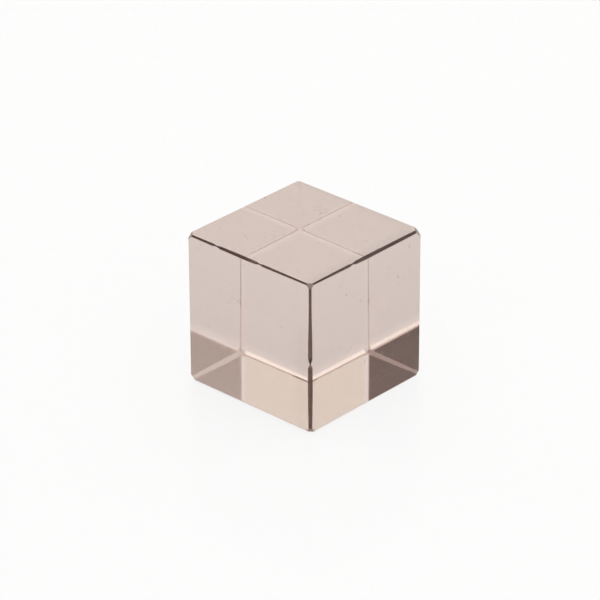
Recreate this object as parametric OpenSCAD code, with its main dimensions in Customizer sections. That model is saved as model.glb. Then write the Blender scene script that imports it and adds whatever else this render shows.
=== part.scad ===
// Smoky quartz cube: one solid block of stone, sawn and lapped to six flat
// faces.  Every edge is broken with a narrow flat bevel and every corner with
// a small three-sided facet.  The bevels are ground by hand one at a time, so
// each edge and each corner has a width of its own.
//
// The block stands on one face.  The origin is the middle of that face, +Z is
// up, the front corner edge points to +X and -Y, and all sizes are in
// millimetres.  A bevel's width is measured across its flat, square to the
// edge.  A corner's depth is measured along the three edges, from the sharp
// corner they would meet at.

/* [Block] */
// Length of the block along X, between the two upright faces
block_x = 25; // [20:0.5:30]
// Length of the block along Y, between the other two upright faces
block_y = 25; // [20:0.5:30]
// Height of the block, from the face it stands on to the top face
block_z = 25; // [20:0.5:30]

/* [Upright bevels] */
// Bevel on the front upright edge, at +X -Y
upright_front = 0.58; // [0.2:0.01:0.8]
// Bevel on the left upright edge, at -X -Y
upright_left = 0.48; // [0.2:0.01:0.8]
// Bevel on the right upright edge, at +X +Y
upright_right = 0.64; // [0.2:0.01:0.8]
// Bevel on the back upright edge, at -X +Y
upright_back = 0.60; // [0.2:0.01:0.8]

/* [Top bevels] */
// Bevel between the top and the -Y face
top_front_left = 0.42; // [0.2:0.01:0.8]
// Bevel between the top and the +X face
top_front_right = 0.47; // [0.2:0.01:0.8]
// Bevel between the top and the -X face
top_back_left = 0.30; // [0.2:0.01:0.8]
// Bevel between the top and the +Y face
top_back_right = 0.76; // [0.2:0.01:0.8]

/* [Base bevels] */
// Bevel between the base and the -Y face
base_front_left = 0.62; // [0.2:0.01:0.8]
// Bevel between the base and the +X face
base_front_right = 0.38; // [0.2:0.01:0.8]
// Bevel between the base and the -X face
base_back_left = 0.66; // [0.2:0.01:0.8]
// Bevel between the base and the +Y face
base_back_right = 0.58; // [0.2:0.01:0.8]

/* [Top corner facets] */
// Depth of the front top corner facet, at +X -Y
corner_top_front = 0.95; // [0.9:0.05:3]
// Depth of the left top corner facet, at -X -Y
corner_top_left = 1.2; // [0.9:0.05:3]
// Depth of the right top corner facet, at +X +Y
corner_top_right = 1.7; // [0.9:0.05:3]
// Depth of the back top corner facet, at -X +Y
corner_top_back = 1.1; // [0.9:0.05:3]

/* [Base corner facets] */
// Depth of the front base corner facet, at +X -Y
corner_base_front = 1.2; // [0.9:0.05:3]
// Depth of the left base corner facet, at -X -Y
corner_base_left = 1.4; // [0.9:0.05:3]
// Depth of the right base corner facet, at +X +Y
corner_base_right = 1.3; // [0.9:0.05:3]
// Depth of the back base corner facet, at -X +Y
corner_base_back = 1.2; // [0.9:0.05:3]

/* [Hidden] */
// Half lengths of the block, from the upright axis to its faces
half_x = block_x / 2;
half_y = block_y / 2;
// Side of the square tool that grinds the bevels and facets away, larger than
// the widest facet, and how far it runs past each end of an edge
tool = 6;
past_end = 1;
// A corner facet leans this far up or down from level: its face makes the same
// angle with all three edges of the corner
facet_lean = atan(1 / sqrt(2));
// Pale brown of the stone with light behind it
quartz_colour = [0.78, 0.70, 0.66];

// Removes the sharp edge along the local Z axis.  The waste lies towards +X
// of the tool, which is turned to face straight out of the edge.
module grind_edge(width, length) {
    translate([-width / 2, -tool / 2, -length / 2 - past_end])
        cube([tool, tool, length + 2 * past_end]);
}

// Upright edge at the side given by the signs of X and Y
module upright_bevel(sign_x, sign_y, width) {
    translate([sign_x * half_x, sign_y * half_y, block_z / 2])
        rotate([0, 0, atan2(sign_y, sign_x)])
            grind_edge(width, block_z);
}

// Level edge of the +Y or -Y face, at the top or the base
module bevel_along_x(sign_y, sign_z, width) {
    translate([0, sign_y * half_y, sign_z > 0 ? block_z : 0])
        rotate([atan2(sign_z, sign_y), 0, 0])
            rotate([0, 90, 0])
                rotate([0, 0, 90])
                    grind_edge(width, block_x);
}

// Level edge of the +X or -X face, at the top or the base
module bevel_along_y(sign_x, sign_z, width) {
    translate([sign_x * half_x, 0, sign_z > 0 ? block_z : 0])
        rotate([0, -atan2(sign_z, sign_x), 0])
            rotate([90, 0, 0])
                grind_edge(width, block_y);
}

// Corner given by the three signs.  The facet's plane crosses each of the three
// edges at the depth, so it lies depth / sqrt(3) below the sharp corner.
module corner_facet(sign_x, sign_y, sign_z, depth) {
    translate([sign_x * half_x, sign_y * half_y, sign_z > 0 ? block_z : 0])
        rotate([0, 0, atan2(sign_y, sign_x)])
            rotate([0, -sign_z * facet_lean, 0])
                translate([-depth / sqrt(3), -tool / 2, -tool / 2])
                    cube(tool);
}

module quartz_cube() {
    color(quartz_colour)
    difference() {
        translate([-half_x, -half_y, 0])
            cube([block_x, block_y, block_z]);

        upright_bevel( 1, -1, upright_front);
        upright_bevel(-1, -1, upright_left);
        upright_bevel( 1,  1, upright_right);
        upright_bevel(-1,  1, upright_back);

        bevel_along_x(-1, 1, top_front_left);
        bevel_along_y( 1, 1, top_front_right);
        bevel_along_y(-1, 1, top_back_left);
        bevel_along_x( 1, 1, top_back_right);

        bevel_along_x(-1, -1, base_front_left);
        bevel_along_y( 1, -1, base_front_right);
        bevel_along_y(-1, -1, base_back_left);
        bevel_along_x( 1, -1, base_back_right);

        corner_facet( 1, -1, 1, corner_top_front);
        corner_facet(-1, -1, 1, corner_top_left);
        corner_facet( 1,  1, 1, corner_top_right);
        corner_facet(-1,  1, 1, corner_top_back);

        corner_facet( 1, -1, -1, corner_base_front);
        corner_facet(-1, -1, -1, corner_base_left);
        corner_facet( 1,  1, -1, corner_base_right);
        corner_facet(-1,  1, -1, corner_base_back);
    }
}

quartz_cube();
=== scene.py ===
from math import cos, radians, sin, sqrt
import bpy
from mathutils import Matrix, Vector


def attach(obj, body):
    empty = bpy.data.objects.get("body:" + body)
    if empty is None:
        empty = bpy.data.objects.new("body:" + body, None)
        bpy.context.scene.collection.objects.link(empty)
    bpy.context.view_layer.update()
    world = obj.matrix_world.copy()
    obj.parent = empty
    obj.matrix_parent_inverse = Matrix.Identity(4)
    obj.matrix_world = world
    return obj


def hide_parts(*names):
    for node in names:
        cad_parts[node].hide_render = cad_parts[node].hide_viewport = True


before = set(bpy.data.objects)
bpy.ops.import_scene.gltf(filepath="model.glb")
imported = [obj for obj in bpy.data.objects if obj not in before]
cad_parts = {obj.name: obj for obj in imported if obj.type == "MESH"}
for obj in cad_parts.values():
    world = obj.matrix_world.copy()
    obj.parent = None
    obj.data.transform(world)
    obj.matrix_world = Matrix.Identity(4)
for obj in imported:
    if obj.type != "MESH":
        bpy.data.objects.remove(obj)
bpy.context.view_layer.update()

# The camera stands about half a metre from the cube and looks a little down on
# its front upright edge through a long lens.
camera_data = bpy.data.cameras.new("camera")
camera_data.lens = 220
camera_data.sensor_width = 36
camera = bpy.data.objects.new("camera", camera_data)
camera.location = (0.331353, -0.360797, 0.272824)
camera.rotation_euler = (radians(62.0835), radians(0.192), radians(42.5515))
bpy.context.scene.collection.objects.link(camera)
bpy.context.scene.camera = camera

# The cube is one block of smoky quartz, sawn to sharp edges.  Each edge and
# each corner is then ground away on a flat lap, one at a time, and polished.
# Most of the bevels are left a little dull, and their colour is painted brown:
# painted shade for the light that runs a long way inside the stone.
mm = 0.001
side = 25 * mm
middle = Vector((0, 0, side / 2))

# How the lap leaves a bevel or a facet, from clear to matt; the grades between
# them also carry painted brown shade
clear = 0.0
nearly_clear = 0.2
dull_pale_painted_brown = 0.8
dull_painted_brown = 0.9
dull_dark_painted_brown = 0.95
matt = 1.0

# Each edge: the way it faces, the widths of its bevel in millimetres from the
# end at -X, -Y or the base to the other, the shares of its length at which the
# lap skipped, and its finish with its painted brown shade.
ground_edges = [
    # Upright edges: front, left, right and back
    ((1, -1, 0), (0.58, 0.65, 0.72, 0.70, 0.65, 0.62, 0.48, 0.43, 0.42), (0.465,), dull_painted_brown),
    ((-1, -1, 0), (0.48, 0.48), (), dull_painted_brown),
    ((1, 1, 0), (0.64, 0.64), (), dull_painted_brown),
    ((-1, 1, 0), (0.80, 0.42), (), clear),
    # Top edges: front left, front right, back left and back right
    ((0, -1, 1), (0.34, 0.37, 0.44, 0.50, 0.51, 0.38, 0.35, 0.32, 0.30), (0.23, 0.585), dull_pale_painted_brown),
    ((1, 0, 1), (0.31, 0.36, 0.40, 0.46, 0.60, 0.55, 0.54, 0.53, 0.48), (0.36,), dull_dark_painted_brown),
    ((-1, 0, 1), (0.30, 0.30), (), dull_painted_brown),
    ((0, 1, 1), (0.76, 0.76), (), dull_painted_brown),
    # Base edges: front left, front right, back left and back right
    ((0, -1, -1), (0.62, 0.62), (), dull_painted_brown),
    ((1, 0, -1), (0.38, 0.38), (), dull_painted_brown),
    ((-1, 0, -1), (0.55, 0.78), (), clear),
    ((0, 1, -1), (0.72, 0.42), (), clear),
]
# Each corner: the way it faces, the depth of its facet along the edges in
# millimetres, and its finish with its painted brown shade.
ground_corners = [
    # Top corners: front, left, right and back
    ((1, -1, 1), 0.95, matt),
    ((-1, -1, 1), 1.2, dull_painted_brown),
    ((1, 1, 1), 1.7, dull_painted_brown),
    ((-1, 1, 1), 1.1, dull_painted_brown),
    # Base corners: front, left, right and back
    ((1, -1, -1), 1.2, matt),
    ((-1, -1, -1), 1.4, nearly_clear),
    ((1, 1, -1), 1.3, nearly_clear),
    ((-1, 1, -1), 1.2, clear),
]


def grind(point, facing):
    bpy.ops.mesh.select_all(action="SELECT")
    bpy.ops.mesh.bisect(
        plane_co=point,
        plane_no=facing,
        use_fill=True,
        clear_outer=True,
        threshold=0.001 * mm,
    )


bpy.ops.object.select_all(action="DESELECT")
bpy.ops.mesh.primitive_cube_add(size=side, location=middle)
stone = bpy.context.object
stone.name = "quartz_block"
bpy.ops.object.transform_apply(location=True, rotation=True, scale=True)
bpy.ops.object.mode_set(mode="EDIT")
for outward, widths, skips, finish_and_painted_shade in ground_edges:
    along = Vector([1 if step == 0 else 0 for step in outward])
    facing = Vector(outward).normalized()
    sharp_edge = middle + Vector(outward) * side / 2
    taper = (widths[-1] - widths[0]) * mm / 2
    depth = (widths[0] + widths[-1]) / 4 * mm
    grind(sharp_edge - facing * depth, (facing + along * taper / side).normalized())
for outward, depth, finish_and_painted_shade in ground_corners:
    facing = Vector(outward).normalized()
    sharp_corner = middle + Vector(outward) * side / 2
    grind(sharp_corner - facing * depth * mm / sqrt(3), facing)
bpy.ops.mesh.select_all(action="SELECT")
bpy.ops.mesh.normals_make_consistent(inside=False)
bpy.ops.object.mode_set(mode="OBJECT")

# A hand-ground bevel isn't one width all along.  The three at the front change
# most, and each has a nick or two, 0.15 mm wide, where the lap skipped.
points_along = 31
half_step = 0.5 / points_along
nick_width = 0.15
on_face = side / 2 - 0.01 * mm
for outward, widths, skips, finish_and_painted_shade in ground_edges:
    if len(widths) == 2:
        continue
    axis_along = outward.index(0)
    facing = Vector(outward).normalized()
    bpy.ops.object.mode_set(mode="EDIT")
    bpy.ops.mesh.select_mode(type="EDGE")
    bpy.ops.mesh.select_all(action="DESELECT")
    bpy.ops.object.mode_set(mode="OBJECT")
    bevel = max(stone.data.polygons, key=lambda face: face.normal.dot(facing))
    for edge in stone.data.edges:
        start, end = (stone.data.vertices[number].co for number in edge.vertices)
        if edge.key in bevel.edge_keys and abs(start[axis_along] - end[axis_along]) > side / 2:
            edge.select = True
    bpy.ops.object.mode_set(mode="EDIT")
    bpy.ops.mesh.subdivide(number_cuts=points_along)
    bpy.ops.mesh.select_mode(type="VERT")
    bpy.ops.object.mode_set(mode="OBJECT")
    rim = [vertex.index for vertex in stone.data.vertices if vertex.select]
    first = min(stone.data.vertices[number].co[axis_along] for number in rim)
    last = max(stone.data.vertices[number].co[axis_along] for number in rim)
    for number in rim:
        spot = stone.data.vertices[number].co.copy()
        share = (spot[axis_along] - first) / (last - first)
        if share < half_step or share > 1 - half_step:
            continue
        before = int(share * (len(widths) - 1))
        part = share * (len(widths) - 1) - before
        width = widths[before] + (widths[before + 1] - widths[before]) * part
        if min(abs(share - skip) for skip in skips) < half_step:
            width = nick_width
        setback = width * mm / sqrt(2)
        shift = Vector((0, 0, 0))
        for axis in (0, 1, 2):
            if axis != axis_along and abs(spot[axis] - middle[axis]) < on_face:
                shift[axis] = middle[axis] + outward[axis] * (side / 2 - setback) - spot[axis]
        bpy.ops.object.mode_set(mode="EDIT")
        bpy.ops.mesh.select_all(action="DESELECT")
        bpy.ops.object.mode_set(mode="OBJECT")
        stone.data.vertices[number].select = True
        bpy.ops.object.mode_set(mode="EDIT")
        bpy.ops.transform.translate(value=shift)
        bpy.ops.object.mode_set(mode="OBJECT")

# The finish of each face, with its painted brown shade, is kept on the face,
# and the flat sides stay clear.
haze_and_painted_shade = stone.data.attributes.new("haze_and_painted_shade", "FLOAT", "FACE")
for face in stone.data.polygons:
    for outward, *sizes, finish_and_painted_shade in ground_edges + ground_corners:
        if face.normal.dot(Vector(outward).normalized()) > 0.99:
            haze_and_painted_shade.data[face.index].value = finish_and_painted_shade


def add_ramp(tree, source, stops):
    ramp = tree.nodes.new("ShaderNodeValToRGB")
    ramp.color_ramp.elements[1].position = stops[-1][0]
    ramp.color_ramp.elements[1].color = (*stops[-1][1], 1)
    ramp.color_ramp.elements[0].position = stops[0][0]
    ramp.color_ramp.elements[0].color = (*stops[0][1], 1)
    for position, colour in stops[1:-1]:
        stop = ramp.color_ramp.elements.new(position)
        stop.color = (*colour, 1)
    tree.links.new(source, ramp.inputs["Fac"])
    return ramp.outputs["Color"]


def add_noise(tree, source, scale, detail):
    noise = tree.nodes.new("ShaderNodeTexNoise")
    noise.inputs["Scale"].default_value = scale
    noise.inputs["Detail"].default_value = detail
    tree.links.new(source, noise.inputs["Vector"])
    return noise.outputs["Fac"]


def add_fade(tree, source, start, full, strength):
    fade = tree.nodes.new("ShaderNodeMapRange")
    fade.inputs["From Min"].default_value = start
    fade.inputs["From Max"].default_value = full
    fade.inputs["To Max"].default_value = strength
    tree.links.new(source, fade.inputs["Value"])
    return fade.outputs["Result"]


def add_maths(tree, operation, source, other):
    maths = tree.nodes.new("ShaderNodeMath")
    maths.operation = operation
    tree.links.new(source, maths.inputs[0])
    if isinstance(other, float):
        maths.inputs[1].default_value = other
    else:
        tree.links.new(other, maths.inputs[1])
    return maths.outputs["Value"]


quartz = bpy.data.materials.new("smoky_quartz")
quartz.use_nodes = True
tree = quartz.node_tree
tree.nodes.clear()
face_finish_and_painted_shade = tree.nodes.new("ShaderNodeAttribute")
face_finish_and_painted_shade.attribute_name = "haze_and_painted_shade"
# Painted shade: the bevels' base colour is tinted brown for the light that runs a long way inside
# the stone; clear faces and matt facets stay white.
painted_brown_shade = add_ramp(tree, face_finish_and_painted_shade.outputs["Fac"], [
    (clear, (1, 1, 1)),
    (dull_painted_brown, (0.62, 0.36, 0.26)),
    (dull_dark_painted_brown, (0.32, 0.13, 0.08)),
    (matt, (1, 1, 1)),
])
lap_grain = add_ramp(tree, face_finish_and_painted_shade.outputs["Fac"], [
    (clear, (0, 0, 0)),
    (dull_dark_painted_brown, (0.38, 0.38, 0.38)),
    (matt, (0.9, 0.9, 0.9)),
])

# The polish leaves soft wipe marks, a few hair scratches and a few dull specks.
in_stone = tree.nodes.new("ShaderNodeTexCoord").outputs["Object"]
wiping = add_noise(tree, in_stone, scale=160, detail=3)
wipe_marks = add_fade(tree, wiping, start=0.45, full=0.75, strength=0.08)
slanted = tree.nodes.new("ShaderNodeMapping")
slanted.inputs["Rotation"].default_value = (0.5, 0.35, 0.9)
slanted.inputs["Scale"].default_value = (5000, 5000, 110)
tree.links.new(in_stone, slanted.inputs["Vector"])
hairs = add_noise(tree, slanted.outputs["Vector"], scale=1, detail=1)
scratches = add_fade(tree, hairs, start=0.69, full=0.74, strength=0.22)
cells = tree.nodes.new("ShaderNodeTexVoronoi")
cells.inputs["Scale"].default_value = 420
tree.links.new(in_stone, cells.inputs["Vector"])
specks = add_fade(tree, cells.outputs["Distance"], start=0.09, full=0.05, strength=0.6)
pits = add_maths(tree, "MAXIMUM", scratches, specks)
polish_marks = add_maths(tree, "MAXIMUM", pits, wipe_marks)
roughness = add_maths(tree, "MAXIMUM", polish_marks, lap_grain)
ripple = tree.nodes.new("ShaderNodeBump")
ripple.inputs["Strength"].default_value = 0.5
ripple.inputs["Distance"].default_value = 0.004 * mm
waves = add_noise(tree, in_stone, scale=260, detail=2)
tree.links.new(waves, ripple.inputs["Height"])
dents = tree.nodes.new("ShaderNodeBump")
dents.invert = True
dents.inputs["Strength"].default_value = 0.3
dents.inputs["Distance"].default_value = 0.01 * mm
tree.links.new(pits, dents.inputs["Height"])
tree.links.new(ripple.outputs["Normal"], dents.inputs["Normal"])
surface = tree.nodes.new("ShaderNodeBsdfPrincipled")
tree.links.new(painted_brown_shade, surface.inputs["Base Color"])
tree.links.new(roughness, surface.inputs["Roughness"])
tree.links.new(dents.outputs["Normal"], surface.inputs["Normal"])
surface.inputs["IOR"].default_value = 1.55
surface.inputs["Transmission Weight"].default_value = 1.0
smoke = tree.nodes.new("ShaderNodeVolumeAbsorption")
smoke.inputs["Color"].default_value = (0.50, 0.23, 0.095, 1)
smoke.inputs["Density"].default_value = 22.5
output = tree.nodes.new("ShaderNodeOutputMaterial")
tree.links.new(surface.outputs["BSDF"], output.inputs["Surface"])
tree.links.new(smoke.outputs["Volume"], output.inputs["Volume"])
stone.data.materials.append(quartz)
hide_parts("quartz_cube")
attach(stone, "root")

# The floor is a glossy sheet of white acrylic, just clear of the stone's base.
# It takes the stone's shadow, and round its foot its glow holds a painted
# square of soft light and shade, which is seen through the stone.
floor_side = 6
floor_gap = 0.02 * mm

# Share of the sheet that shows as plain white, looked at from outside and
# through the stone
white_outside = 0.8
white_through_stone = 0.95

# Distance from the middle of the stone in millimetres, and the painted light there
painted_foot_light = [(11.4, 0.93), (12.1, 1.0), (13.1, 1.0), (15, 0.87), (40, 0.94)]
foot_reach = 50 * mm

bpy.ops.object.select_all(action="DESELECT")
bpy.ops.mesh.primitive_plane_add(size=floor_side, location=(0, 0, -floor_gap))
floor = bpy.context.object
floor.name = "floor"
acrylic = bpy.data.materials.new("white_acrylic")
acrylic.use_nodes = True
tree = acrylic.node_tree
sheet = tree.nodes["Principled BSDF"]
sheet.inputs["Base Color"].default_value = (0.97, 0.97, 0.97, 1)
sheet.inputs["Roughness"].default_value = 0.12
rays = tree.nodes.new("ShaderNodeLightPath")
through_stone = rays.outputs["Is Transmission Ray"]
outside = add_maths(tree, "MAXIMUM", rays.outputs["Is Camera Ray"], rays.outputs["Is Glossy Ray"])
white_share = add_maths(
    tree,
    "MAXIMUM",
    add_maths(tree, "MULTIPLY", outside, white_outside),
    add_maths(tree, "MULTIPLY", through_stone, white_through_stone),
)
on_floor = tree.nodes.new("ShaderNodeTexCoord")
floor_axes = tree.nodes.new("ShaderNodeSeparateXYZ")
tree.links.new(on_floor.outputs["Object"], floor_axes.inputs["Vector"])
across = add_maths(tree, "ABSOLUTE", floor_axes.outputs["X"], 0.0)
deep = add_maths(tree, "ABSOLUTE", floor_axes.outputs["Y"], 0.0)
from_middle = add_maths(tree, "MULTIPLY", add_maths(tree, "MAXIMUM", across, deep), 1 / foot_reach)
# Painted light and shade: the square round the stone's foot, seen through the stone
painted_light_and_shade = add_ramp(tree, from_middle, [
    (distance * mm / foot_reach, (light, light, light)) for distance, light in painted_foot_light
])
# The glow is plain white, but rays through the stone see the painted light and shade
strength = tree.nodes.new("ShaderNodeMix")
strength.data_type = "FLOAT"
tree.links.new(through_stone, strength.inputs["Factor"])
strength.inputs["A"].default_value = 1.0
tree.links.new(painted_light_and_shade, strength.inputs["B"])
white = tree.nodes.new("ShaderNodeEmission")
white.inputs["Color"].default_value = (1, 1, 1, 1)
tree.links.new(strength.outputs["Result"], white.inputs["Strength"])
mix = tree.nodes.new("ShaderNodeMixShader")
tree.links.new(white_share, mix.inputs["Fac"])
tree.links.new(sheet.outputs["BSDF"], mix.inputs[1])
tree.links.new(white.outputs["Emission"], mix.inputs[2])
tree.links.new(mix.outputs["Shader"], tree.nodes["Material Output"].inputs["Surface"])
floor.data.materials.append(acrylic)

# The stone shows what stands behind and beside it, so cloth cards and lamps
# hang round it, all at one distance.  A card's tone runs from its foot to its
# top, and a lamp's cloth also shines.
card_distance = 1.2


def hang_card(name, turn, lift, size, foot_tone, top_tone, light=0.0, fade_start=0.0):
    bpy.ops.object.select_all(action="DESELECT")
    level = cos(radians(lift))
    outward = Vector((sin(radians(turn)) * level, -cos(radians(turn)) * level, sin(radians(lift))))
    leaning = (radians(90 - lift), 0, radians(turn))
    bpy.ops.mesh.primitive_plane_add(size=1, location=outward * card_distance, rotation=leaning)
    card = bpy.context.object
    card.name = name
    card.scale = (*size, 1)
    paint = bpy.data.materials.new(name)
    paint.use_nodes = True
    tree = paint.node_tree
    cloth = tree.nodes["Principled BSDF"]
    cloth.inputs["Roughness"].default_value = 1.0
    cloth.inputs["Specular IOR Level"].default_value = 0.0
    on_card = tree.nodes.new("ShaderNodeTexCoord")
    card_axes = tree.nodes.new("ShaderNodeSeparateXYZ")
    tree.links.new(on_card.outputs["Object"], card_axes.inputs["Vector"])
    way_up = add_fade(tree, card_axes.outputs["Y"], start=fade_start - 0.5, full=0.5, strength=1.0)
    tone = add_ramp(tree, way_up, [(0, foot_tone), (1, top_tone)])
    tree.links.new(tone, cloth.inputs["Base Color"])
    cloth.inputs["Emission Color"].default_value = (*top_tone, 1)
    cloth.inputs["Emission Strength"].default_value = light
    card.data.materials.append(paint)


hang_card(
    "dark_curtain_left", turn=-48, lift=31, size=(0.75, 0.70),
    foot_tone=(0.079, 0.02, 0.0), top_tone=(0.594, 0.471, 0.436), fade_start=0.4,
)
hang_card(
    "grey_curtain_right", turn=134, lift=26, size=(0.8, 0.56),
    foot_tone=(0.14, 0.05, 0.01), top_tone=(0.91, 0.87, 0.85), fade_start=0.08,
)
hang_card(
    "softbox", turn=42, lift=45, size=(0.7, 0.85),
    foot_tone=(0.8, 0.8, 0.8), top_tone=(0.8, 0.8, 0.8), light=0.45,
)
hang_card(
    "strip_light", turn=220, lift=5, size=(0.9, 0.2),
    foot_tone=(0.8, 0.8, 0.8), top_tone=(0.9, 0.87, 0.83), light=0.7,
)
hang_card(
    "strip_light_left", turn=312, lift=5, size=(0.5, 0.14),
    foot_tone=(0.8, 0.8, 0.8), top_tone=(0.9, 0.87, 0.83), light=0.7,
)
hang_card(
    "warm_wall", turn=222, lift=30, size=(0.9, 0.5),
    foot_tone=(0.95, 0.93, 0.87), top_tone=(0.95, 0.93, 0.87), light=0.15,
)

# The room is white all round.  Light runs through a clear stone many times
# before it comes out, so it is followed for a long way.
room = bpy.data.worlds.new("studio")
bpy.context.scene.world = room
room.use_nodes = True
room.node_tree.nodes["Background"].inputs["Color"].default_value = (1, 1, 1, 1)
room.node_tree.nodes["Background"].inputs["Strength"].default_value = 1.0
scene = bpy.context.scene
scene.cycles.max_bounces = 64
scene.cycles.transmission_bounces = 64
scene.cycles.glossy_bounces = 64
scene.cycles.denoising_input_passes = "RGB"
scene.view_settings.view_transform = "Standard"
